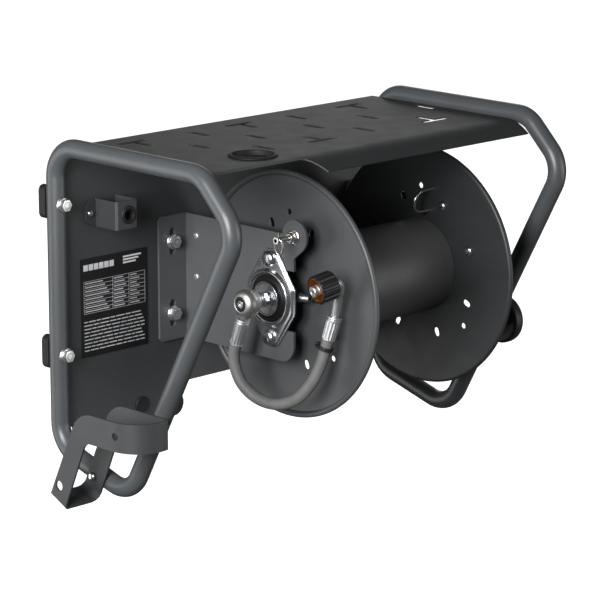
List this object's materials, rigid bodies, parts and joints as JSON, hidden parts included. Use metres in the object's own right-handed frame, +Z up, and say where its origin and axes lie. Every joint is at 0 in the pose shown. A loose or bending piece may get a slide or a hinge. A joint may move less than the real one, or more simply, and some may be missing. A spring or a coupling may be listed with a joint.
{
  "type": "hose reel cart",
  "caption": "Wall-mounted console for a garden pressure washer hose: a cranked drum between discs under a slotted shelf, with a swivel inlet hose, a lock pin and lance holders.",
  "frame": {"origin": "on the wall plane, in the middle of the rear faces of the four wall pads", "axes": "+X along the drum's axis, from the swivel towards the crank; +Y into the wall; +Z up"},
  "size_m": [0.6322, 0.3142, 0.396],
  "materials": {
    "tube": "satin anthracite powder coat",
    "sheet": "fine-textured anthracite powder coat",
    "drum": "dark powder coat",
    "rubber": "matt moulded rubber",
    "label": "satin plastic plate",
    "zinc": "bright zinc plate",
    "steel": "turned stainless steel",
    "aluminium": "matt cast aluminium",
    "brass": "turned brass",
    "hose": "smooth grey rubber",
    "plastic": "moulded black plastic"
  },
  "bodies": {
    "frame": {"left_frame": "tube", "right_frame": "tube", "lance_holder": "tube", "top_shelf": "sheet", "back_panel": "sheet", "left_bracket": "sheet", "right_bracket": "sheet", "wand_clip": "sheet", "shelf_grommet": "rubber", "panel_plug": "rubber", "tab_bumper": "rubber", "left_bearing_insert": "rubber", "right_bearing_insert": "rubber", "swivel_cap": "rubber", "wand_clip_grommet": "rubber", "label_plate": "label", "left_bearing_housing": "zinc", "right_bearing_housing": "zinc", "inlet_ferrule": "zinc", "outlet_ferrule": "zinc", "elbow_fitting": "zinc", "lance_holder_screw": "zinc", "wand_clip_screw": "zinc", "lock_pin_barrel": "steel", "swivel_body": "aluminium", "jumper_hose": "hose", "hose_tie": "plastic", "left_bearing_bolt_upper": "zinc", "bracket_bolt_left_upper": "zinc", "left_bearing_bolt_lower": "zinc", "bracket_bolt_left_lower": "zinc", "wall_pad_left_top": "rubber", "wall_bolt_left_top": "zinc", "wall_pad_left_bottom": "rubber", "wall_bolt_left_bottom": "zinc", "right_bearing_bolt_upper": "zinc", "bracket_bolt_right_upper": "zinc", "right_bearing_bolt_lower": "zinc", "bracket_bolt_right_lower": "zinc", "wall_pad_right_top": "rubber", "wall_bolt_right_top": "zinc", "wall_pad_right_bottom": "rubber", "wall_bolt_right_bottom": "zinc"},
    "reel": {"left_disc": "sheet", "right_disc": "sheet", "drum": "drum", "shaft": "zinc", "swivel_stem": "zinc", "hose_clamp": "steel", "disc_screw_front": "zinc", "disc_screw_top": "zinc", "hose_outlet": "zinc", "crank_arm": "sheet", "crank_bolt": "zinc", "crank_spindle": "zinc"},
    "crank_grip": {"crank_knob": "plastic"},
    "lock_pin": {"lock_pin_plunger": "steel"},
    "coupling": {"coupling_nut": "brass", "coupling_sleeve": "plastic"}
  },
  "joints": [
    {"name": "reel_spin", "type": "hinge", "parent": "frame", "child": "reel", "pos_m": [0.067, -0.167, -0.0275], "axis": [1, 0, 0], "continuous": true},
    {"name": "crank_knob_spin", "type": "hinge", "parent": "reel", "child": "crank_grip", "pos_m": [0.296, -0.17925, -0.11464], "axis": [1, 0, 0], "continuous": true},
    {"name": "lock_pin_slide", "type": "slide", "parent": "frame", "child": "lock_pin", "axis": [1, 0, 0], "range_m": [0, 0.012]},
    {"name": "coupling_spin", "type": "hinge", "parent": "frame", "child": "coupling", "pos_m": [-0.08387, -0.26573, 0.00326], "axis": [0.9675, -0.1589, 0.1969], "continuous": true}
  ]
}
